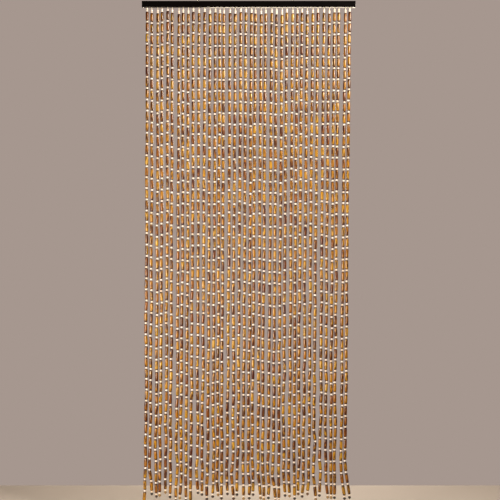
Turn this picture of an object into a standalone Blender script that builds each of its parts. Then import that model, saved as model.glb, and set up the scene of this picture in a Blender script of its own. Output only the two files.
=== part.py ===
"""Bead curtain with header rail: forty strands on a grooved wooden rail with two screw eyes.

Metres, +Z up. The origin is the middle of the rail's back face. +X runs along the rail, and the
front faces -Y. Each strand is four-sided and follows the line on which its bamboo tubes hang,
from a thread head under the rail to a round bead at the foot.
"""

from collections import namedtuple

import bmesh
import bpy
import numpy as np
from mathutils import Matrix, Vector

MM = 0.001
GAP = 0.3 * MM  # left between two pieces that touch

# Header rail: a batten with a groove along its underside
RAIL_LENGTH = 900 * MM
RAIL_HEIGHT = 26.5 * MM
RAIL_DEPTH = 15 * MM
RAIL_EDGE = 1 * MM
GROOVE_LENGTH = 884 * MM
GROOVE_WIDTH = 6 * MM
GROOVE_DEPTH = 3.5 * MM

# Screw eyes on the rail's top edge
EYE_PLACES = {"left": -214 * MM, "right": 187 * MM}  # from the rail's middle
EYE_HOLE = 7 * MM
EYE_WIRE = 2 * MM
EYE_NECK = 1.2 * MM
EYE_SHANK = 12 * MM
SMOOTH_ANGLE = np.radians(50)

MID_DEPTH = -RAIL_DEPTH / 2  # where the eyes and strands stand, front to back
RAIL_TOP = RAIL_HEIGHT / 2
RAIL_UNDERSIDE = -RAIL_HEIGHT / 2
RING_RADIUS = (EYE_HOLE + EYE_WIRE) / 2
RING_HEIGHT = RAIL_TOP + EYE_NECK + EYE_WIRE / 2 + RING_RADIUS

# Knot strip, which fills the groove
STRIP_WIDTH = GROOVE_WIDTH - 2 * GAP
STRIP_HEIGHT = GROOVE_DEPTH - 2 * GAP
STRIP_TOP = RAIL_UNDERSIDE + GROOVE_DEPTH - GAP
STRIP_END = 6 * MM  # past the outer strands

# Widths down a strand
NECK_HALF = STRIP_WIDTH / 2
HEAD_HALF = 3.5 * MM
HEAD_BEAD_DROP = 2 * MM  # from the rail's underside to the head's full width
TUBE_HALF = 5.5 * MM
PINCH_HALF = 3.9 * MM
TUBE_PITCH = 47.3 * MM  # a tube and the spacer bead under it
SPACER_HALF = 3.5 * MM

# How the strands hang
CURTAIN_DROP = 2090 * MM
LEAN = -14 * MM  # the whole curtain's sideways lean at the foot
DRAW_IN = 6 * MM  # of the outer strands towards the middle
KINK_AT_HEAD = 0.5 * MM
KINK_AT_FOOT = 3 * MM
KINK_GROWTH = 1.5  # the power of the drop with which kinks grow
CLOSEST = 12.6 * MM  # between the middles of two neighbours
EASING_PASSES = 12
SEED = 11

# One row for each strand, left to right, in millimetres: its root's place along the rail, the
# drop of its thread head, the drop to its last spacer and the swing of its foot
Strand = namedtuple("Strand", "root head foot swing")
STRANDS = (
    Strand(-428, 14, 2084, -5),
    Strand(-408, 20, 2040, 8),
    Strand(-383, 21, 2051, 3),
    Strand(-365, 16, 2046, -4),
    Strand(-341, 11, 2034, -1),
    Strand(-322, 19, 2053, 0),
    Strand(-294, 24, 2068, -3),
    Strand(-276, 19, 2057, -4),
    Strand(-254, 23, 2067, 0),
    Strand(-233, 15, 2081, -1),
    Strand(-209, 20, 2036, 6),
    Strand(-185, 16, 2043, -1),
    Strand(-163, 23, 2062, -2),
    Strand(-140, 18, 2052, 0),
    Strand(-121, 21, 2044, 4),
    Strand(-104, 23, 2059, 1),
    Strand(-78, 20, 2040, 1),
    Strand(-56, 23, 2060, 5),
    Strand(-33, 16, 2043, -4),
    Strand(-11, 18, 2060, 3),
    Strand(12, 19, 2059, 4),
    Strand(29, 22, 2043, 0),
    Strand(53, 25, 2057, 12),
    Strand(72, 22, 2063, 4),
    Strand(98, 20, 2057, 0),
    Strand(118, 26, 2069, 10),
    Strand(141, 28, 2070, 0),
    Strand(161, 19, 2047, 8),
    Strand(186, 21, 2049, 2),
    Strand(206, 22, 2060, 4),
    Strand(225, 19, 2040, 0),
    Strand(247, 25, 2051, -5),
    Strand(271, 21, 2040, -6),
    Strand(292, 19, 2063, 8),
    Strand(318, 19, 2047, -2),
    Strand(340, 23, 2054, 12),
    Strand(362, 18, 2056, 1),
    Strand(380, 18, 2056, -1),
    Strand(408, 20, 2060, 15),
    Strand(426, 15, 2055, 18),
)

# A strand's spacers that bend it: every fourth in the upper half, every second below, then all
UPPER_SPACERS = range(4, 24, 4)
LOWER_SPACERS = range(24, 40, 2)
LAST_SPACERS = range(40, 43)
BENDS = (*UPPER_SPACERS, *LOWER_SPACERS, *LAST_SPACERS)
SWING_STARTS = 41  # the spacer from which a foot swings out

# The round end bead: drop below the last spacer, and half width there
END_BEAD = ((5.2 * MM, 5 * MM), (9.3 * MM, 6 * MM), (13.2 * MM, 4.8 * MM), (15.3 * MM, 2.2 * MM))


def clear_scene():
    for obj in list(bpy.data.objects):
        bpy.data.objects.remove(obj, do_unlink=True)


def add_collection(name):
    collection = bpy.data.collections.new(name)
    bpy.context.scene.collection.children.link(collection)
    return collection


def add_material(name, color, roughness, metallic=0.0):
    material = bpy.data.materials.new(name)
    material.use_nodes = True
    shader = material.node_tree.nodes["Principled BSDF"]
    shader.inputs["Base Color"].default_value = (*color, 1)
    shader.inputs["Roughness"].default_value = roughness
    shader.inputs["Metallic"].default_value = metallic
    return material


def black_lacquer():
    return add_material("black lacquer", (0.006, 0.005, 0.005), 0.3)


def plated_steel():
    return add_material("zinc plated steel", (0.7, 0.68, 0.62), 0.3, 1.0)


def bamboo():
    return add_material("lacquered bamboo", (0.39, 0.19, 0.065), 0.35)


def add_object(name, bm, collection, material=None):
    """Makes an object from a bmesh, which it frees."""
    mesh = bpy.data.meshes.new(name)
    bm.to_mesh(mesh)
    bm.free()
    if material:
        mesh.materials.append(material)
    obj = bpy.data.objects.new(name, mesh)
    collection.objects.link(obj)
    return obj


def box(size):
    bm = bmesh.new()
    bmesh.ops.create_cube(bm, size=1, matrix=Matrix.Diagonal((*size, 1)))
    return bm


def rod(radius, length, sides=12):
    bm = bmesh.new()
    bmesh.ops.create_cone(
        bm, cap_ends=True, segments=sides, radius1=radius, radius2=radius, depth=length
    )
    return bm


def make_cutter(obj):
    obj.hide_render = True
    obj.display_type = "WIRE"
    return obj


def add_boolean(obj, other, operation):
    modifier = obj.modifiers.new(operation.lower(), "BOOLEAN")
    modifier.operation = operation
    modifier.solver = "EXACT"
    modifier.object = other


def shade_smooth(obj):
    obj.data.shade_smooth()
    obj.data.set_sharp_from_angle(angle=SMOOTH_ANGLE)


def header_rail(parts, cutters):
    rail = add_object("header_rail", box((RAIL_LENGTH, RAIL_DEPTH, RAIL_HEIGHT)), parts, black_lacquer())
    rail.location.y = MID_DEPTH
    bevel = rail.modifiers.new("soft edges", "BEVEL")
    bevel.width = RAIL_EDGE
    bevel.segments = 2

    groove_size = (GROOVE_LENGTH, GROOVE_WIDTH, 2 * GROOVE_DEPTH)
    groove = make_cutter(add_object("groove", box(groove_size), cutters))
    groove.location = (0, MID_DEPTH, RAIL_UNDERSIDE)
    add_boolean(rail, groove, "DIFFERENCE")
    for x in EYE_PLACES.values():
        hole_depth = EYE_SHANK + GAP
        hole = make_cutter(add_object("screw hole", rod(EYE_WIRE / 2 + GAP, 2 * hole_depth), cutters))
        hole.location = (x, MID_DEPTH, RAIL_TOP)
        add_boolean(rail, hole, "DIFFERENCE")


def screw_eye(name, x, parts, cutters, material):
    """A wire ring that faces the front, on a shank that is screwed into the rail."""
    shank_top = RING_HEIGHT - RING_RADIUS
    shank_foot = RAIL_TOP - EYE_SHANK
    shank = add_object(name, rod(EYE_WIRE / 2, shank_top - shank_foot), parts, material)
    shank.location = (x, MID_DEPTH, (shank_top + shank_foot) / 2)

    bpy.ops.mesh.primitive_torus_add(
        location=(x, MID_DEPTH, RING_HEIGHT),
        rotation=(np.pi / 2, 0, 0),
        major_radius=RING_RADIUS,
        minor_radius=EYE_WIRE / 2,
        major_segments=24,
        minor_segments=10,
    )
    ring = make_cutter(bpy.context.active_object)
    ring.users_collection[0].objects.unlink(ring)
    cutters.objects.link(ring)
    add_boolean(shank, ring, "UNION")
    shade_smooth(shank)
    shade_smooth(ring)


def tube_count(strand):
    return round((strand.foot - strand.head) * MM / TUBE_PITCH)


def hang_line(root, drop):
    """The sideways place of a strand at a drop, before its own kinks: the lean and the draw-in."""
    share = drop / CURTAIN_DROP
    draw = DRAW_IN * root / (RAIL_LENGTH / 2) * (1 - (1 - share) ** 3)
    return root + LEAN * share - draw


def bend_drop(strand, spacer):
    """The drop of a spacer below the rail's underside. Spacer 0 is the head's end."""
    return MM * (strand.head + (strand.foot - strand.head) * spacer / tube_count(strand))


def ease_apart(places):
    """Moves neighbours sideways, a little in each pass, until all lie at least CLOSEST apart."""
    for _ in range(EASING_PASSES):
        push = np.clip(CLOSEST - np.diff(places, axis=0), 0, None) / 2
        places[:-1] -= push
        places[1:] += push


def strand_places():
    """The x and y of every strand, a row each, at its bends and then at its foot."""
    random = np.random.default_rng(SEED)
    x = np.zeros((len(STRANDS), len(BENDS) + 1))
    y = np.zeros_like(x)
    for row, strand in enumerate(STRANDS):
        for column, spacer in enumerate(BENDS):
            drop = bend_drop(strand, spacer)
            grown = (drop / CURTAIN_DROP) ** KINK_GROWTH
            kink = KINK_AT_HEAD + (KINK_AT_FOOT - KINK_AT_HEAD) * grown
            swung = max(0, spacer - SWING_STARTS) / (tube_count(strand) - SWING_STARTS)
            x[row, column] = hang_line(strand.root * MM, drop) + strand.swing * MM * swung
            x[row, column] += kink * random.uniform(-1, 1)
            y[row, column] = MID_DEPTH + kink / 2 * random.uniform(-1, 1)
        x[row, -1] = hang_line(strand.root * MM, strand.foot * MM) + strand.swing * MM
        y[row, -1] = y[row, -2]
    ease_apart(x)
    return x, y


def strand_rings(strand, x_places, y_places):
    """(x, y, drop below the rail's underside, half width) of each ring down a strand."""
    root = strand.root * MM
    head = strand.head * MM
    foot = strand.foot * MM
    rings = [
        (root, MID_DEPTH, GAP, NECK_HALF),
        (root, MID_DEPTH, HEAD_BEAD_DROP, HEAD_HALF),
        (root, MID_DEPTH, head, HEAD_HALF),
        (root, MID_DEPTH, head + SPACER_HALF, TUBE_HALF),
    ]
    for spacer, x, y in zip(BENDS, x_places, y_places):
        rings.append((x, y, bend_drop(strand, spacer), TUBE_HALF))
    x, y = x_places[-1], y_places[-1]
    rings.append((x, y, foot - SPACER_HALF, TUBE_HALF))
    rings.append((x, y, foot, PINCH_HALF))
    for below, half in END_BEAD:
        rings.append((x, y, foot + below, half))
    return rings


def knot_strip():
    """The strip as a bar, cut across on both sides of each strand's root."""
    left = STRANDS[0].root * MM - STRIP_END
    right = STRANDS[-1].root * MM + STRIP_END
    bm = box((right - left, STRIP_WIDTH, STRIP_HEIGHT))
    middle = Vector(((left + right) / 2, MID_DEPTH, STRIP_TOP - STRIP_HEIGHT / 2))
    bmesh.ops.translate(bm, vec=middle, verts=bm.verts)
    for strand in STRANDS:
        for side in (-1, 1):
            cut = Vector((strand.root * MM + side * NECK_HALF, 0, 0))
            everything = [*bm.verts, *bm.edges, *bm.faces]
            bmesh.ops.bisect_plane(bm, geom=everything, plane_co=cut, plane_no=(1, 0, 0))
    return bm


def root_face(bm, strand):
    """The square on the strip's underside from which a strand hangs."""
    below = [face for face in bm.faces if face.normal.z < -0.5]
    return min(below, key=lambda face: abs(face.calc_center_median().x - strand.root * MM))


def grow_strand(bm, face, rings):
    """Extrudes a strand from its root, ring by ring."""
    for x, y, drop, half in rings:
        old_middle = face.calc_center_median()
        face = bmesh.ops.extrude_discrete_faces(bm, faces=[face])["faces"][0]
        for vert in face.verts:
            side_x = 1 if vert.co.x > old_middle.x else -1
            side_y = 1 if vert.co.y > old_middle.y else -1
            vert.co = (x + side_x * half, y + side_y * half, RAIL_UNDERSIDE - drop)


def bead_strands(parts):
    bm = knot_strip()
    bm.normal_update()
    faces = [root_face(bm, strand) for strand in STRANDS]
    x_places, y_places = strand_places()
    for strand, face, xs, ys in zip(STRANDS, faces, x_places, y_places):
        grow_strand(bm, face, strand_rings(strand, xs, ys))
    add_object("bead_strands", bm, parts, bamboo())


def build():
    clear_scene()
    parts = add_collection("bead curtain")
    cutters = add_collection("cutters")
    header_rail(parts, cutters)
    steel = plated_steel()
    for side, x in EYE_PLACES.items():
        screw_eye(f"screw_eye_{side}", x, parts, cutters, steel)
    bead_strands(parts)


build()
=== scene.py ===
import math

import bmesh
import bpy
import numpy as np
from mathutils import Matrix, Vector


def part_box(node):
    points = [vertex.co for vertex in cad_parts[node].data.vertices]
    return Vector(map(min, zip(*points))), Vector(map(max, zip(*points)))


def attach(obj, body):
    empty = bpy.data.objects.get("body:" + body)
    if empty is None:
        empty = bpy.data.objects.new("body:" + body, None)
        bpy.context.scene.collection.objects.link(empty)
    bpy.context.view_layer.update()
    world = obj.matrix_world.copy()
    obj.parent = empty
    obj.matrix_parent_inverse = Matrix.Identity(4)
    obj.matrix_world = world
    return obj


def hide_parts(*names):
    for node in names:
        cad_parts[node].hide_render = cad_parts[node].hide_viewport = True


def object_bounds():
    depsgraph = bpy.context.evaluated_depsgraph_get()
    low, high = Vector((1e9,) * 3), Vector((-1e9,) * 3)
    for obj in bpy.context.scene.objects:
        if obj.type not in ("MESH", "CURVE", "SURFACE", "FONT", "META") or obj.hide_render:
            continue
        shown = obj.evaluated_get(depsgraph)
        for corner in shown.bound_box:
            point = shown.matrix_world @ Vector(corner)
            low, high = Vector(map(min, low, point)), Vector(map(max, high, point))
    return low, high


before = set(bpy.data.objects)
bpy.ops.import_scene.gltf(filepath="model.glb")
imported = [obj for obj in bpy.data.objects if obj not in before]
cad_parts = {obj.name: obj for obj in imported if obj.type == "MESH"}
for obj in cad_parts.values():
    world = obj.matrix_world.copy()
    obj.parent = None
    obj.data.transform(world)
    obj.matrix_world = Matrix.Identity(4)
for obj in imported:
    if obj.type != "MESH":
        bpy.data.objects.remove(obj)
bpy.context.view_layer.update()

# Sizes in metres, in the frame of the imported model
MM = 0.001

# Beads
TUBE_PITCH = 47.3 * MM  # a tube and the spacer bead under it
TUBE_LENGTH = 39.7 * MM
TUBE_RADIUS = 6.8 * MM
TUBE_BORE_RADIUS = 2.7 * MM
SPACER_RADIUS = 4.4 * MM
SPACER_HEIGHT = 7.4 * MM
SPACER_BORE_RADIUS = 1.3 * MM
END_BEAD_RADIUS = 6.3 * MM
END_BEAD_HEIGHT = 11 * MM
END_BEAD_DROP = 9.3 * MM  # from the last spacer's middle to the end bead's
BEAD_GAP = 0.1 * MM
TUBE_SIDES = 12
SPACER_SIDES = 12
END_BEAD_SIDES = 20
BEAD_SHARP_ANGLE = math.radians(60)
STRANDS_IN_PIECE = 8  # that share one piece of tubes and one of spacers

# Head beads: the room under the rail, in bead heights, that takes a second and a third one
ROOM_FOR_TWO = 2.15
ROOM_FOR_THREE = 4

# How uneven the beads and their hang are
SEED = 40
LENGTH_SPREAD = 0.021  # of a tube's length
TUBE_WIDTHS = (0.94, 1.04)  # of TUBE_RADIUS
TUBE_OVAL = 0.025  # of its width, at most
SPACER_WIDTHS = (0.95, 1.04)  # of SPACER_RADIUS
KINK_AT_HEAD = 0.5 * MM
KINK_AT_FOOT = 1.6 * MM
KINK_LIMIT = 2  # times the usual kink
CLOSEST = 14.2 * MM  # between the middles of two neighbours
NEIGHBOUR_CHECKS = 5  # heights of the neighbour that each bead keeps away from

# Tones, from 0 for a material's darkest to 1 for its lightest, and burns, up to 1 for the most
TUBE_TONES = (4.2, 2.6)  # the two shape values of a beta distribution
TUBE_BURNS = (1.5, 2.1)
SPACER_TONES = (0.1, 1)
HEAD_BEAD_TONES = (0.4, 1)
DARK_END = 0.08
BROWN_END = 0.5
GOLD_END = 0.9
END_TONE_SPREAD = 0.08

# Strands, counted from the left, whose end bead isn't dark
GOLD_ENDS = (4, 5, 8, 15, 20, 23, 24, 29, 34, 36, 37)
BROWN_ENDS = (18, 31, 33)

# Noise: nearly all of it lies between these two, and a bead's seed moves it up to so far
NOISE_LOW = 0.3
NOISE_HIGH = 0.7
SEED_RANGE = 90

# Burnt patches of the bamboo, and its dark ends, part scorch and part painted shade where each tube
# meets a spacer: they hide up to so much of its own colour
UNBURNT_EDGE = 0.585  # the noise above which a tube with no burn is burnt
BURNT_EDGE = 0.415  # the same for a tube with the most burn
EDGE_FADE = (-0.05, 0.06)  # about that noise
PATCH_COVER = 0.93
END_FADE = (-2.5 * MM, 3 * MM)  # about the tube's end
END_WANDER = 10 * MM
END_COVER = 0.9

# Thread, its foot knots and the strip that holds it
THREAD_RADIUS = 0.8 * MM
THREAD_ROUNDNESS = 1
HEAD_CORD_RADIUS = 1.5 * MM
HEAD_CORD_FOOT = 0.4 * SPACER_HEIGHT  # above the top head bead's middle
KNOT_RADIUS = 1.375 * MM
LOOPS_REACH = 3  # of the formula of a knot's three loops, before it is scaled
LOOPS_DEPTH = 1.6
KNOT_CORD_RADIUS = 0.6 * MM
KNOT_POINTS = 28
KNOT_DROP = 0.9 * MM  # from the end bead's foot to the knot's middle
TAIL_LENGTH = 2.6 * MM
STRIP_EDGE = 0.6 * MM
STRIP_EDGE_STEPS = 3
PLY_SPACING = 3.77 * MM  # along the thread, and coarser than real plies so that they show
DIAGONAL_WAVE = math.pi / 5  # a diagonal wave texture's repeat along an axis, at scale 1

# Rail and the wire of its eyes
RAIL_EDGE = 1.2 * MM
RAIL_EDGE_STEPS = 4
RAIL_SHARP_ANGLE = math.radians(40)
FLAT_SHARE = 0.1  # faces over this share of the broadest one are shaded flat
GROOVE_ROOM = Vector((8, 0.3, 0.3)) * MM  # around the strip
GROOVE_CUT = 1000 * MM  # below the rail, so that the groove opens downward
EYE_WIRE = 2 * MM
EYE_WIRE_ROUNDNESS = 3
EYE_NECK = 0.6 * EYE_WIRE  # from the ring down to the shank
EYE_TURN = (-68, 248)  # degrees, anticlockwise from the ring's right side
EYE_POINTS = 30

# The rings of a strand in the frame, counted from its head and from its foot
HEAD_RING = 2
LAST_SPACER_RING = -5
SAME_VERTEX = 0.01 * MM  # vertices closer than this are one
SAME_RING = 0.02 * MM  # vertices of a ring are level to within this

random = np.random.default_rng(SEED)


def linear(hex_colour):
    """Turns an sRGB hex colour to linear RGBA."""
    channels = [int(hex_colour[at:at + 2], 16) / 255 for at in (1, 3, 5)]
    return (*[c / 12.92 if c <= 0.04045 else ((c + 0.055) / 1.055) ** 2.4 for c in channels], 1)


def per_mm(*sizes):
    """The scale that makes a pattern repeat at each size in millimetres."""
    return tuple(1 / (size * MM) for size in sizes)


def new_material(name):
    """A material with its node tree and its shader."""
    material = bpy.data.materials.new(name)
    material.use_nodes = True
    return material, material.node_tree, material.node_tree.nodes["Principled BSDF"]


def set_inputs(tree, node, inputs):
    """Links or sets a node's inputs. Each is a socket to link from or a value to set."""
    for name, value in inputs.items():
        if isinstance(value, bpy.types.NodeSocket):
            tree.links.new(value, node.inputs[name])
        else:
            node.inputs[name].default_value = value


def add_node(tree, kind, settings, inputs):
    """Adds a node with its settings and inputs."""
    node = tree.nodes.new(kind)
    for name, value in settings.items():
        if name == "stops":
            set_stops(node.color_ramp, value)
        else:
            setattr(node, name, value)
    set_inputs(tree, node, inputs)
    return node


def set_stops(ramp, stops):
    """Gives a new colour ramp its stops, which are in order."""
    first, *between, last = stops
    for element, (place, hex_colour) in zip(ramp.elements, (first, last)):
        element.position = place
        element.color = linear(hex_colour)
    for place, hex_colour in between:
        ramp.elements.new(place).color = linear(hex_colour)


def bead_inputs(tree):
    """A bead's own places, in metres from its middle, and its tone, burn and seed."""
    place = add_node(tree, "ShaderNodeAttribute", {"attribute_name": "bead_place"}, {})
    character = add_node(tree, "ShaderNodeAttribute", {"attribute_name": "bead_character"}, {})
    parts = add_node(tree, "ShaderNodeSeparateXYZ", {}, {"Vector": character.outputs["Vector"]})
    seed = add_node(
        tree, "ShaderNodeMath", {"operation": "MULTIPLY"}, {0: parts.outputs["Z"], 1: SEED_RANGE}
    )
    return place.outputs["Vector"], parts.outputs["X"], parts.outputs["Y"], seed.outputs["Value"]


def bead_noise(tree, place, seed, sizes, detail):
    """Noise in a bead's own frame with patches of the given sizes, in millimetres."""
    scaled = add_node(
        tree, "ShaderNodeVectorMath", {"operation": "MULTIPLY"}, {0: place, 1: per_mm(*sizes)}
    )
    noise = add_node(
        tree,
        "ShaderNodeTexNoise",
        {"noise_dimensions": "4D"},
        {"Vector": scaled.outputs["Vector"], "W": seed, "Scale": 1, "Detail": detail},
    )
    return noise.outputs["Fac"]


def shaded(tree, colour, noise, darkest, lightest):
    """A colour made darker and lighter by noise, down to and up to so many times its own light."""
    shade = add_node(tree, "ShaderNodeMapRange", {}, {
        "Value": noise,
        "From Min": NOISE_LOW,
        "From Max": NOISE_HIGH,
        "To Min": darkest,
        "To Max": lightest,
    })
    scaled = add_node(
        tree,
        "ShaderNodeVectorMath",
        {"operation": "SCALE"},
        {0: colour, "Scale": shade.outputs["Result"]},
    )
    return scaled.outputs["Vector"]


def set_grained_surface(tree, shader, colour, grain, roughness, ridge_strength, ridge_height):
    """A surface whose grain stands up as fine ridges and changes its gloss, from the first
    roughness where the grain is low to the second where it is high."""
    gloss = add_node(tree, "ShaderNodeMapRange", {}, {
        "Value": grain,
        "From Min": NOISE_LOW,
        "From Max": NOISE_HIGH,
        "To Min": roughness[0],
        "To Max": roughness[1],
    })
    ridges = add_node(tree, "ShaderNodeBump", {}, {
        "Strength": ridge_strength,
        "Distance": ridge_height,
        "Height": grain,
    })
    set_inputs(tree, shader, {
        "Base Color": colour,
        "Roughness": gloss.outputs["Result"],
        "Normal": ridges.outputs["Normal"],
    })


def burnt_share(tree, patches, burn):
    """How burnt the bamboo's skin is at each place. A tube with more burn has more dark patches."""
    edge = add_node(
        tree, "ShaderNodeMapRange", {}, {"Value": burn, "To Min": UNBURNT_EDGE, "To Max": BURNT_EDGE}
    )
    over = add_node(
        tree, "ShaderNodeMath", {"operation": "SUBTRACT"}, {0: patches, 1: edge.outputs["Result"]}
    )
    burnt = add_node(tree, "ShaderNodeMapRange", {}, {
        "Value": over.outputs["Value"],
        "From Min": EDGE_FADE[0],
        "From Max": EDGE_FADE[1],
        "To Max": PATCH_COVER,
    })
    return burnt.outputs["Result"]


def scorched_and_shaded_end_share(tree, place, patches):
    """How dark a tube is towards its two ends, part scorch and part painted shade where it meets the
    spacers, with an edge that wanders with the patches.
    """
    heights = add_node(tree, "ShaderNodeSeparateXYZ", {}, {"Vector": place})
    from_middle = add_node(
        tree, "ShaderNodeMath", {"operation": "ABSOLUTE"}, {0: heights.outputs["Z"]}
    )
    wander = add_node(
        tree,
        "ShaderNodeMath",
        {"operation": "MULTIPLY_ADD"},
        {0: patches, 1: END_WANDER, 2: from_middle.outputs["Value"]},
    )
    # painted shade: the tube darkens towards each spacer, part scorch and part the shade that falls
    # between the beads
    scorched = add_node(tree, "ShaderNodeMapRange", {}, {
        "Value": wander.outputs["Value"],
        "From Min": TUBE_LENGTH / 2 + END_FADE[0],
        "From Max": TUBE_LENGTH / 2 + END_FADE[1],
        "To Max": END_COVER,
    })
    return scorched.outputs["Result"]


def scorched_bamboo():
    """Bamboo scorched with a flame and dipped in clear lacquer: gold to umber tubes with fine
    fibres along them, red-brown burnt streaks, ends darkened by scorch and by painted shade
    where they meet the spacers, and a wet gloss."""
    material, tree, shader = new_material("scorched lacquered bamboo")
    place, tone, burn, seed = bead_inputs(tree)
    skins = ((0, "#46210A"), (0.25, "#7C460C"), (0.5, "#98640E"), (0.75, "#AC7C18"), (1, "#B88E28"))
    skin = add_node(tree, "ShaderNodeValToRGB", {"stops": skins}, {"Fac": tone})
    fibres = bead_noise(tree, place, seed, (1.8, 1.8, 30), 3)
    patches = bead_noise(tree, place, seed, (4.5, 4.5, 20), 3)
    mottled = add_node(tree, "ShaderNodeMixRGB", {}, {
        "Fac": burnt_share(tree, patches, burn),
        "Color1": shaded(tree, skin.outputs["Color"], fibres, darkest=0.4, lightest=1.35),
        "Color2": linear("#3A1206"),
    })
    # the dark colour at the ends is scorch and also painted shade where each tube meets a spacer
    colour = add_node(tree, "ShaderNodeMixRGB", {}, {
        "Fac": scorched_and_shaded_end_share(tree, place, patches),
        "Color1": mottled.outputs["Color"],
        "Color2": linear("#2C0E06"),
    })
    set_grained_surface(
        tree,
        shader,
        colour.outputs["Color"],
        fibres,
        roughness=(0.3, 0.18),
        ridge_strength=0.5,
        ridge_height=0.12 * MM,
    )
    set_inputs(tree, shader, {"IOR": 1.5})
    return material


def cream_lacquered_wood():
    """Turned boxwood under cream lacquer: pale, glossy beads that are a shade warmer or cooler
    from one to the next, with a faint turned grain."""
    material, tree, shader = new_material("cream lacquered boxwood")
    place, tone, _, seed = bead_inputs(tree)
    creams = ((0, "#F0D8BA"), (0.5, "#FBEAD8"), (1, "#FFF5EE"))
    cream = add_node(tree, "ShaderNodeValToRGB", {"stops": creams}, {"Fac": tone})
    grain = bead_noise(tree, place, seed, (2.5, 2.5, 0.7), 2)
    colour = shaded(tree, cream.outputs["Color"], grain, darkest=0.9, lightest=1.02)
    set_grained_surface(
        tree,
        shader,
        colour,
        grain,
        roughness=(0.34, 0.24),
        ridge_strength=0.3,
        ridge_height=0.05 * MM,
    )
    set_inputs(tree, shader, {"IOR": 1.5, "Coat Weight": 0.5, "Coat Roughness": 0.1})
    return material


def stained_end_wood():
    """Turned hardwood, stained from near black to gold and lacquered, with rings of grain."""
    material, tree, shader = new_material("stained lacquered hardwood")
    place, tone, _, seed = bead_inputs(tree)
    stains = ((0, "#170B07"), (0.5, "#4E2C16"), (1, "#9C7A42"))
    stain = add_node(tree, "ShaderNodeValToRGB", {"stops": stains}, {"Fac": tone})
    grain = bead_noise(tree, place, seed, (1.6, 1.6, 9), 3)
    colour = shaded(tree, stain.outputs["Color"], grain, darkest=0.7, lightest=1.15)
    set_grained_surface(
        tree,
        shader,
        colour,
        grain,
        roughness=(0.4, 0.3),
        ridge_strength=0.4,
        ridge_height=0.08 * MM,
    )
    set_inputs(tree, shader, {"IOR": 1.5, "Coat Weight": 0.3, "Coat Roughness": 0.15})
    return material


def twisted_cotton(name, hex_colour):
    """Twisted cotton: a matt yarn with plies that show as a fine slanting bump."""
    material, tree, shader = new_material(name)
    place = add_node(tree, "ShaderNodeTexCoord", {}, {})
    plies = add_node(
        tree,
        "ShaderNodeTexWave",
        {"wave_type": "BANDS", "bands_direction": "DIAGONAL"},
        {
            "Vector": place.outputs["Object"],
            "Scale": DIAGONAL_WAVE / PLY_SPACING,
            "Distortion": 1,
            "Detail": 2,
        },
    )
    shade = add_node(
        tree, "ShaderNodeMapRange", {}, {"Value": plies.outputs["Fac"], "To Min": 0.7}
    )
    colour = add_node(
        tree,
        "ShaderNodeVectorMath",
        {"operation": "SCALE"},
        {0: linear(hex_colour)[:3], "Scale": shade.outputs["Result"]},
    )
    twist = add_node(
        tree,
        "ShaderNodeBump",
        {},
        {"Strength": 0.6, "Distance": 0.2 * MM, "Height": plies.outputs["Fac"]},
    )
    set_inputs(tree, shader, {
        "Base Color": colour.outputs["Vector"],
        "Roughness": 0.85,
        "Normal": twist.outputs["Normal"],
        "IOR": 1.5,
        "Sheen Weight": 0.3,
    })
    return material


def black_lacquered_softwood():
    """Planed softwood under black lacquer: a deep even black with a soft gloss, in which the grain
    shows only as faint ripples and slightly duller streaks along the rail."""
    material, tree, shader = new_material("black lacquered softwood")
    place = add_node(tree, "ShaderNodeTexCoord", {}, {})
    along = add_node(
        tree,
        "ShaderNodeVectorMath",
        {"operation": "MULTIPLY"},
        {0: place.outputs["Object"], 1: per_mm(60, 2.2, 2.2)},
    )
    noise = add_node(
        tree, "ShaderNodeTexNoise", {}, {"Vector": along.outputs["Vector"], "Scale": 1, "Detail": 4}
    )
    grain = noise.outputs["Fac"]
    blacks = ((0.35, "#040303"), (0.65, "#080606"))
    black = add_node(tree, "ShaderNodeValToRGB", {"stops": blacks}, {"Fac": grain})
    set_grained_surface(
        tree,
        shader,
        black.outputs["Color"],
        grain,
        roughness=(0.15, 0.24),
        ridge_strength=0.25,
        ridge_height=0.1 * MM,
    )
    set_inputs(tree, shader, {"IOR": 1.45})
    return material


def zinc_plated_steel():
    """Drawn steel wire with bright zinc plate: a pale warm metal, slightly clouded."""
    material, tree, shader = new_material("zinc plated steel wire")
    place = add_node(tree, "ShaderNodeTexCoord", {}, {})
    noise = add_node(tree, "ShaderNodeTexNoise", {}, {
        "Vector": place.outputs["Object"],
        "Scale": per_mm(1.5)[0],
        "Detail": 3,
    })
    cloud = noise.outputs["Fac"]
    plates = ((0.3, "#C9C2B6"), (0.7, "#EEE8DC"))
    plate = add_node(tree, "ShaderNodeValToRGB", {"stops": plates}, {"Fac": cloud})
    dull = add_node(tree, "ShaderNodeMapRange", {}, {
        "Value": cloud,
        "From Min": NOISE_LOW,
        "From Max": NOISE_HIGH,
        "To Min": 0.32,
        "To Max": 0.2,
    })
    set_inputs(tree, shader, {
        "Base Color": plate.outputs["Color"],
        "Roughness": dull.outputs["Result"],
        "Metallic": 1,
    })
    return material


def matt_pale_floor():
    """Matt painted boards, as a plain pale studio floor."""
    material, tree, shader = new_material("matt pale floor paint")
    set_inputs(tree, shader, {"Base Color": linear("#F2EAE5"), "Roughness": 0.9, "IOR": 1.45})
    return material


def place_piece(piece, material, node):
    """Gives a piece its finish and its body, and hides the node that it stands for."""
    piece.data.materials.clear()
    piece.data.materials.append(material)
    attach(piece, "root")
    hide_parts(node)


def add_object(name, data):
    """Puts a mesh, curve, light or camera into the scene."""
    obj = bpy.data.objects.new(name, data)
    bpy.context.scene.collection.objects.link(obj)
    return obj


def linked_verts(start):
    """All vertices that edges join to this one."""
    found = {start}
    waiting = [start]
    while waiting:
        vert = waiting.pop()
        for edge in vert.link_edges:
            other = edge.other_vert(vert)
            if other not in found:
                found.add(other)
                waiting.append(other)
    return found


def rail_underside():
    """The height of the rail's underside."""
    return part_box("header_rail")[0].z


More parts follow.
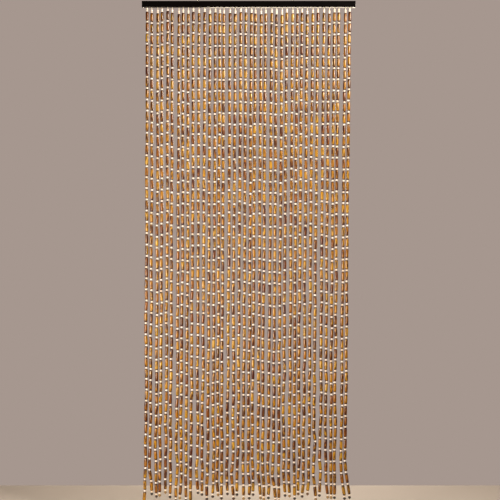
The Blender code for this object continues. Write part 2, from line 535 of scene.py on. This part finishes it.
def strand_lines():
    """The middle line of each strand of the frame, left to right, a point a ring, head to foot."""
    bm = bmesh.new()
    bm.from_mesh(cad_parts["bead_strands"].data)
    bmesh.ops.remove_doubles(bm, verts=bm.verts, dist=SAME_VERTEX)
    underside = rail_underside()
    strip = [vert for vert in bm.verts if vert.co.z > underside]
    bmesh.ops.delete(bm, geom=strip, context="VERTS")
    lines = []
    unseen = set(bm.verts)
    while unseen:
        strand = linked_verts(next(iter(unseen)))
        unseen -= strand
        rings = {}
        for vert in strand:
            rings.setdefault(round(vert.co.z / SAME_RING), []).append(vert.co)
        middles = [np.mean(rings[height], axis=0) for height in sorted(rings, reverse=True)]
        lines.append(np.array(middles))
    bm.free()
    return sorted(lines, key=lambda line: line[0, 0])


def hang_spacers(line, neighbour):
    """The places of a strand's spacers, from the top of its first tube to its last spacer, moved
    right where the neighbour on its left would be too close."""
    head, foot = line[HEAD_RING], line[LAST_SPACER_RING]
    tubes = round((head[2] - foot[2]) / TUBE_PITCH)
    lengths = 1 + LENGTH_SPREAD * random.standard_normal(tubes)
    share = np.concatenate([[0], np.cumsum(lengths)]) / lengths.sum()
    heights = head[2] + (foot[2] - head[2]) * share
    kink = KINK_AT_HEAD + (KINK_AT_FOOT - KINK_AT_HEAD) * share ** 2
    kink[[0, -1]] = 0
    places = np.zeros((tubes + 1, 3))
    places[:, 2] = heights
    for axis in (0, 1):
        wobble = np.clip(random.standard_normal(tubes + 1), -KINK_LIMIT, KINK_LIMIT) * kink
        places[:, axis] = np.interp(-heights, -line[:, 2], line[:, axis]) + wobble
    if neighbour is not None:
        around = heights[:, None] + TUBE_PITCH * np.linspace(-1, 1, NEIGHBOUR_CHECKS)
        beside = np.interp(-around, -neighbour[:, 2], neighbour[:, 0])
        places[:, 0] = np.maximum(places[:, 0], beside.max(axis=1) + CLOSEST)
    return places


def hang_strands():
    """The spacer places of every strand, left to right."""
    strands = []
    for line in strand_lines():
        strands.append(hang_spacers(line, strands[-1] if strands else None))
    return strands


def turned_shape(profile, sides):
    """Vertices and outward quads of a closed profile of (radius, height), top to bottom."""
    radius, height = np.array(profile).T
    turn = np.arange(sides) * 2 * math.pi / sides
    shape = (len(profile), sides)
    verts = np.stack([
        radius[:, None] * np.cos(turn),
        radius[:, None] * np.sin(turn),
        np.broadcast_to(height[:, None], shape),
    ], axis=-1).reshape(-1, 3)
    at = np.arange(len(verts)).reshape(shape)
    below = np.roll(at, -1, axis=0)
    quads = np.stack([at, below, np.roll(below, -1, axis=1), np.roll(at, -1, axis=1)], axis=-1)
    return verts, quads.reshape(-1, 4)


def mirrored(upper):
    """A profile from its upper half, whose last point is at half height."""
    return upper + [(radius, -height) for radius, height in reversed(upper[:-1])]


def tube_shape():
    """A bored tube with flat ends, tumbled shoulders and a slight belly."""
    half = TUBE_LENGTH / 2
    bore = [
        (TUBE_BORE_RADIUS, half - 0.6 * MM),
        (TUBE_BORE_RADIUS + 0.6 * MM, half - 0.05 * MM),
    ]
    end_and_shoulder = [
        (0.6 * TUBE_RADIUS, half),
        (0.8 * TUBE_RADIUS, half - 0.8 * MM),
        (0.91 * TUBE_RADIUS, half - 2.2 * MM),
        (0.975 * TUBE_RADIUS, half - 5.5 * MM),
    ]
    belly = [(1.02 * TUBE_RADIUS, 0)]
    return turned_shape(mirrored(bore + end_and_shoulder + belly), TUBE_SIDES)


def spacer_shape():
    """A small bored bead, rounder at its waist than at its ends."""
    half = SPACER_HEIGHT / 2
    upper = [
        (SPACER_BORE_RADIUS, 0.88 * half),
        (0.52 * SPACER_RADIUS, half),
        (0.86 * SPACER_RADIUS, 0.66 * half),
        (SPACER_RADIUS, 0),
    ]
    return turned_shape(mirrored(upper), SPACER_SIDES)


def end_bead_shape():
    """A bored ball, a little lower than it is wide."""
    half = END_BEAD_HEIGHT / 2
    upper = [(SPACER_BORE_RADIUS, 0.93 * half), (0.36 * END_BEAD_RADIUS, half)]
    for angle in (62, 45, 28, 12, 0):
        radius = END_BEAD_RADIUS * math.cos(math.radians(angle))
        height = half * math.sin(math.radians(angle))
        upper.append((radius, height))
    return turned_shape(mirrored(upper), END_BEAD_SIDES)


def unit(vectors):
    """The same directions at length one."""
    return vectors / np.linalg.norm(vectors, axis=-1, keepdims=True)


def bead_row(middles, axes, stretch, tone, burn):
    """A row for each bead: its middle, the axis it stands along, its stretch in its own X, Y and
    Z, and its tone, burn and seed."""
    count = len(middles)
    seed = random.uniform(0, 1, count)
    tone = np.broadcast_to(tone, count)
    burn = np.broadcast_to(burn, count)
    return {
        "middle": np.asarray(middles),
        "axis": unit(np.asarray(axes)),
        "stretch": np.broadcast_to(stretch, (count, 3)),
        "character": np.stack([tone, burn, seed], axis=1),
    }


def join_rows(rows):
    """All the beads of several rows in one."""
    return {key: np.concatenate([row[key] for row in rows]) for key in rows[0]}


def tube_row(spacers):
    """A tube between each two spacers of a strand."""
    above, below = spacers[:-1], spacers[1:]
    count = len(above)
    along = above - below
    length = np.linalg.norm(along, axis=1) - SPACER_HEIGHT - 2 * BEAD_GAP
    width = random.uniform(*TUBE_WIDTHS, count)
    oval = random.uniform(-TUBE_OVAL, TUBE_OVAL, count)
    stretch = np.stack([width * (1 + oval), width * (1 - oval), length / TUBE_LENGTH], axis=1)
    tone = random.beta(*TUBE_TONES, count)
    burn = random.beta(*TUBE_BURNS, count)
    return bead_row((above + below) / 2, along, stretch, tone, burn)


def spacer_row(spacers):
    """The beads between tubes. Each leans halfway between the tubes that it parts."""
    along = unit(spacers[:-1] - spacers[1:])
    axes = along.copy()
    axes[:-1] += along[1:]
    count = len(along)
    width = random.uniform(*SPACER_WIDTHS, count)
    stretch = np.stack([width, width, np.ones(count)], axis=1)
    return bead_row(spacers[1:], axes, stretch, random.uniform(*SPACER_TONES, count), 0)


def head_bead_places(spacers):
    """The middles of the beads stacked on the thread above the first tube."""
    top = spacers[0, 2] - SPACER_HEIGHT / 2
    room = rail_underside() - top
    count = 1 + (room > ROOM_FOR_TWO * SPACER_HEIGHT) + (room > ROOM_FOR_THREE * SPACER_HEIGHT)
    return [
        (spacers[0, 0], spacers[0, 1], top + (place + 0.5) * (SPACER_HEIGHT + BEAD_GAP))
        for place in range(count)
    ]


def head_bead_row(spacers):
    """The beads above the first tube, which hang upright."""
    middles = head_bead_places(spacers)
    count = len(middles)
    tone = random.uniform(*HEAD_BEAD_TONES, count)
    return bead_row(middles, [(0, 0, 1)] * count, (1, 1, 1), tone, 0)


def end_tone(number):
    """The tone of the end bead of the strand with this number, counted from the left."""
    if number in GOLD_ENDS:
        return GOLD_END
    if number in BROWN_ENDS:
        return BROWN_END
    return DARK_END


def end_bead_row(strands):
    """The round bead at each strand's foot: dark, brown or gold."""
    tones = []
    for number in range(1, len(strands) + 1):
        tones.append(end_tone(number) + random.uniform(-END_TONE_SPREAD, END_TONE_SPREAD))
    middles = [spacers[-1] - (0, 0, END_BEAD_DROP) for spacers in strands]
    return bead_row(middles, [(0, 0, 1)] * len(middles), (1, 1, 1), tones, 0)


def turning_frames(axes):
    """A frame for each axis, as columns, turned by chance about the axis."""
    spin = random.uniform(0, 2 * math.pi, len(axes))
    side = unit(np.cross(axes, (0, 1, 0)))
    front = np.cross(axes, side)
    across = side * np.cos(spin)[:, None] + front * np.sin(spin)[:, None]
    return np.stack([across, np.cross(axes, across), axes], axis=2)


def joined_beads(name, shape, row):
    """One mesh of a bead for each row, with each vertex's own place and its bead's character."""
    verts, quads = shape
    count = len(row["middle"])
    own = verts[None] * row["stretch"][:, None]
    placed = np.einsum("nij,nvj->nvi", turning_frames(row["axis"]), own) + row["middle"][:, None]
    corners = quads[None] + (np.arange(count) * len(verts))[:, None, None]
    corners = corners.reshape(-1, 4)

    mesh = bpy.data.meshes.new(name)
    mesh.vertices.add(count * len(verts))
    mesh.vertices.foreach_set("co", placed.reshape(-1))
    mesh.loops.add(corners.size)
    mesh.loops.foreach_set("vertex_index", corners.reshape(-1))
    mesh.polygons.add(len(corners))
    mesh.polygons.foreach_set("loop_start", np.arange(0, corners.size, 4))
    mesh.update(calc_edges=True)
    character = np.repeat(row["character"], len(verts), axis=0)
    for attribute, values in (("bead_place", own), ("bead_character", character)):
        layer = mesh.attributes.new(attribute, "FLOAT_VECTOR", "POINT")
        layer.data.foreach_set("vector", values.reshape(-1))
    mesh.shade_smooth()
    mesh.set_sharp_from_angle(angle=BEAD_SHARP_ANGLE)
    return add_object(name, mesh)


def grouped(strands):
    """The strands in groups that share a piece, each group with its number."""
    starts = range(0, len(strands), STRANDS_IN_PIECE)
    return enumerate((strands[start:start + STRANDS_IN_PIECE] for start in starts), 1)


def add_tubes(strands):
    """The bamboo tubes, in a piece for each group of strands."""
    bamboo = scorched_bamboo()
    shape = tube_shape()
    for number, group in grouped(strands):
        row = join_rows([tube_row(spacers) for spacers in group])
        tubes = joined_beads(f"bamboo_tubes_{number}", shape, row)
        place_piece(tubes, bamboo, "bead_strands")


def add_spacers(strands):
    """The cream beads between the tubes and above the first ones."""
    cream = cream_lacquered_wood()
    shape = spacer_shape()
    for number, group in grouped(strands):
        rows = [spacer_row(spacers) for spacers in group]
        rows += [head_bead_row(spacers) for spacers in group]
        beads = joined_beads(f"spacer_beads_{number}", shape, join_rows(rows))
        place_piece(beads, cream, "bead_strands")


def add_end_beads(strands):
    """The round beads at the strands' feet, in one piece."""
    ends = joined_beads("end_beads", end_bead_shape(), end_bead_row(strands))
    place_piece(ends, stained_end_wood(), "bead_strands")


def add_curve(name, radius, roundness, lines, closed=False):
    """A round wire or thread through the points of each line."""
    curve = bpy.data.curves.new(name, "CURVE")
    curve.dimensions = "3D"
    curve.bevel_depth = radius
    curve.bevel_resolution = roundness
    curve.use_fill_caps = True
    for line in lines:
        spline = curve.splines.new("POLY")
        spline.points.add(len(line) - 1)
        spline.points.foreach_set("co", np.hstack([line, np.ones((len(line), 1))]).reshape(-1))
        spline.use_cyclic_u = closed
        spline.use_smooth = True
    return add_object(name, curve)


def thread_lines(strands, strip_foot):
    """From the strip through every bead to the tail under the foot knot."""
    lines = []
    for spacers in strands:
        root = (spacers[0, 0], spacers[0, 1], strip_foot)
        drop = END_BEAD_DROP + END_BEAD_HEIGHT / 2 + KNOT_DROP + TAIL_LENGTH
        lines.append(np.vstack([root, spacers, spacers[-1] - (0, 0, drop)]))
    return lines


def head_cord_lines(strands, strip_foot):
    """The doubled thread between the strip and each strand's top bead."""
    lines = []
    for spacers in strands:
        x, y, height = head_bead_places(spacers)[-1]
        lines.append(np.array([(x, y, strip_foot), (x, y, height + HEAD_CORD_FOOT)]))
    return lines


def knot_lines(strands):
    """An overhand knot of three small loops, drawn tight, under each end bead."""
    turn = np.linspace(0, 2 * math.pi, KNOT_POINTS, endpoint=False)
    loops = np.stack([
        np.sin(turn) + 2 * np.sin(2 * turn),
        np.cos(turn) - 2 * np.cos(2 * turn),
        -LOOPS_DEPTH * np.sin(3 * turn),
    ], axis=1)
    loops *= KNOT_RADIUS / LOOPS_REACH
    drop = END_BEAD_DROP + END_BEAD_HEIGHT / 2 + KNOT_DROP
    return [loops + spacers[-1] - (0, 0, drop) for spacers in strands]


def add_threads(strands, strip_foot):
    """Each strand's thread, its doubled head and its foot knot."""
    cotton = twisted_cotton("twisted cotton thread", "#D6C4A2")
    bleached = twisted_cotton("bleached cotton cord", "#F2E8D4")
    lines = thread_lines(strands, strip_foot)
    threads = add_curve("threads", THREAD_RADIUS, THREAD_ROUNDNESS, lines)
    place_piece(threads, cotton, "bead_strands")
    lines = head_cord_lines(strands, strip_foot)
    cords = add_curve("head_cords", HEAD_CORD_RADIUS, THREAD_ROUNDNESS, lines)
    place_piece(cords, bleached, "bead_strands")
    lines = knot_lines(strands)
    knots = add_curve("foot_knots", KNOT_CORD_RADIUS, THREAD_ROUNDNESS, lines, closed=True)
    place_piece(knots, cotton, "bead_strands")


def add_box(name, low, high):
    """A box between two corners."""
    bm = bmesh.new()
    size = Matrix.Diagonal((*(high - low), 1))
    bmesh.ops.create_cube(bm, size=1, matrix=Matrix.Translation((low + high) / 2) @ size)
    mesh = bpy.data.meshes.new(name)
    bm.to_mesh(mesh)
    bm.free()
    return add_object(name, mesh)


def soften(obj, width, steps):
    """Rounds an object's edges."""
    bevel = obj.modifiers.new("soft edges", "BEVEL")
    bevel.width = width
    bevel.segments = steps
    bevel.harden_normals = True


def settle(obj):
    """Puts what an object's modifiers make into its mesh, and shades it smooth but for its broad
    faces, which stay flat."""
    graph = bpy.context.evaluated_depsgraph_get()
    mesh = bpy.data.meshes.new_from_object(obj.evaluated_get(graph))
    obj.modifiers.clear()
    obj.data = mesh
    mesh.shade_smooth()
    mesh.set_sharp_from_angle(angle=RAIL_SHARP_ANGLE)
    broadest = max(face.area for face in mesh.polygons)
    for face in mesh.polygons:
        face.use_smooth = face.area < FLAT_SHARE * broadest


def strip_box():
    """The corners of the part of the strands' node that lies in the rail's groove."""
    underside = rail_underside()
    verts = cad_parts["bead_strands"].data.vertices
    places = np.array([vert.co for vert in verts if vert.co.z > underside])
    return Vector(places.min(0)), Vector(places.max(0))


def add_knot_strip(low, high):
    """The tape in the groove that the threads are knotted to."""
    strip = add_box("knot_strip", low, high)
    soften(strip, STRIP_EDGE, STRIP_EDGE_STEPS)
    settle(strip)
    place_piece(strip, twisted_cotton("cotton tape", "#8A7A62"), "bead_strands")


def add_rail(strip_low, strip_high):
    """The batten, with softly rubbed edges and the groove that the strip lies in."""
    low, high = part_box("header_rail")
    rail = add_box("rail_batten", low, high)
    soften(rail, RAIL_EDGE, RAIL_EDGE_STEPS)
    groove_low = strip_low - GROOVE_ROOM
    groove_low.z = low.z - GROOVE_CUT
    groove = add_box("groove", groove_low, strip_high + GROOVE_ROOM)
    cut = rail.modifiers.new("groove", "BOOLEAN")
    cut.operation = "DIFFERENCE"
    cut.object = groove
    settle(rail)
    bpy.data.objects.remove(groove)
    place_piece(rail, black_lacquered_softwood(), "header_rail")


def eye_line(low, high):
    """The wire's path: up the shank, then round the ring until it nearly meets the neck."""
    radius = (high.x - low.x) / 2 - EYE_WIRE / 2
    middle = Vector(((low.x + high.x) / 2, (low.y + high.y) / 2, high.z - EYE_WIRE / 2 - radius))
    foot = Vector((middle.x, middle.y, low.z))
    line = [foot, middle - Vector((0, 0, radius + EYE_NECK))]
    for angle in np.radians(np.linspace(*EYE_TURN, EYE_POINTS)):
        line.append(middle + radius * Vector((math.cos(angle), 0, math.sin(angle))))
    return np.array(line)


def add_eyes():
    """The two wire eyes on the rail's top edge."""
    steel = zinc_plated_steel()
    for side in ("left", "right"):
        node = f"screw_eye_{side}"
        line = eye_line(*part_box(node))
        eye = add_curve(f"wire_eye_{side}", EYE_WIRE / 2, EYE_WIRE_ROUNDNESS, [line])
        place_piece(eye, steel, node)


def dress():
    """Makes every piece around the frame."""
    strands = hang_strands()
    add_tubes(strands)
    add_spacers(strands)
    add_end_beads(strands)
    strip_low, strip_high = strip_box()
    add_threads(strands, strip_low.z)
    add_knot_strip(strip_low, strip_high)
    add_rail(strip_low, strip_high)
    add_eyes()


# The photograph's frame: 500 pixels square, 4.214 mm a pixel at the curtain
FRAME_PIXELS = 500
PIXEL = 4.214 * MM
RAIL_MIDDLE_PIXEL = 248.7
RAIL_TOP_PIXEL = 1.2
CAMERA_DISTANCE = 4.5
SENSOR = 36  # millimetres


def add_camera():
    """A level camera square to the curtain, at the height of the photograph's middle."""
    low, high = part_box("header_rail")
    middle = FRAME_PIXELS / 2
    camera = bpy.data.cameras.new("camera")
    camera.sensor_width = SENSOR
    camera.lens = SENSOR * CAMERA_DISTANCE / (FRAME_PIXELS * PIXEL)
    obj = add_object("camera", camera)
    obj.location = (
        (middle - RAIL_MIDDLE_PIXEL) * PIXEL,
        (low.y + high.y) / 2 - CAMERA_DISTANCE,
        high.z - (middle - RAIL_TOP_PIXEL) * PIXEL,
    )
    obj.rotation_euler = (math.radians(90), 0, 0)
    bpy.context.scene.camera = obj


# Studio
FLOOR_DROP = 85 * MM  # below the lowest foot
FLOOR_THICKNESS = 20 * MM
FLOOR_SIDE = 1600 * MM  # from the curtain's middle
FLOOR_FRONT = -1400 * MM
FLOOR_BACK = 780 * MM


def add_floor():
    """A pale floor under the curtain."""
    lowest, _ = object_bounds()
    top = lowest.z - FLOOR_DROP
    low = Vector((-FLOOR_SIDE, FLOOR_FRONT, top - FLOOR_THICKNESS))
    high = Vector((FLOOR_SIDE, FLOOR_BACK, top))
    floor = add_box("floor", low, high)
    floor.data.materials.append(matt_pale_floor())


def add_surround():
    """A warm grey surround. What it lights is dimmer than what is seen of it."""
    world = bpy.data.worlds.new("studio")
    world.use_nodes = True
    tree = world.node_tree
    seen = add_node(tree, "ShaderNodeLightPath", {}, {})
    surround = add_node(tree, "ShaderNodeMixRGB", {}, {
        "Fac": seen.outputs["Is Camera Ray"],
        "Color1": linear("#352E28"),
        "Color2": linear("#A6978F"),
    })
    set_inputs(tree, tree.nodes["Background"], {"Color": surround.outputs["Color"]})
    bpy.context.scene.world = world


def add_softbox(name, place, target, size, power, spread, hex_colour):
    """A soft light, with its places and size in metres, power in watts and spread in degrees."""
    light = bpy.data.lights.new(name, "AREA")
    light.spread = math.radians(spread)
    light.shape = "RECTANGLE"
    light.size, light.size_y = size
    light.energy = power
    light.color = linear(hex_colour)[:3]
    obj = add_object(name, light)
    obj.location = place
    aim = Vector(target) - Vector(place)
    obj.rotation_euler = aim.to_track_quat("-Z", "Y").to_euler()


def add_softboxes():
    """Two warm lights in front, low on the left and high on the right, and one behind."""
    add_softbox(
        "left softbox",
        place=(-1.8, -2.0, -1.35),
        target=(0, 0, -1.3),
        size=(0.9, 1.2),
        power=29.5,
        spread=90,
        hex_colour="#FFEFDA",
    )
    add_softbox(
        "right softbox",
        place=(2.0, -1.7, 0.4),
        target=(0, 0, -0.35),
        size=(0.9, 0.9),
        power=36.5,
        spread=90,
        hex_colour="#FFF1DE",
    )
    add_softbox(
        "back softbox",
        place=(0.3, 2.6, -0.2),
        target=(0, 0, -1.0),
        size=(1.2, 1.2),
        power=42,
        spread=180,
        hex_colour="#FFEBD2",
    )


dress()
add_camera()
add_floor()
add_surround()
add_softboxes()
bpy.context.scene.view_settings.view_transform = "Standard"
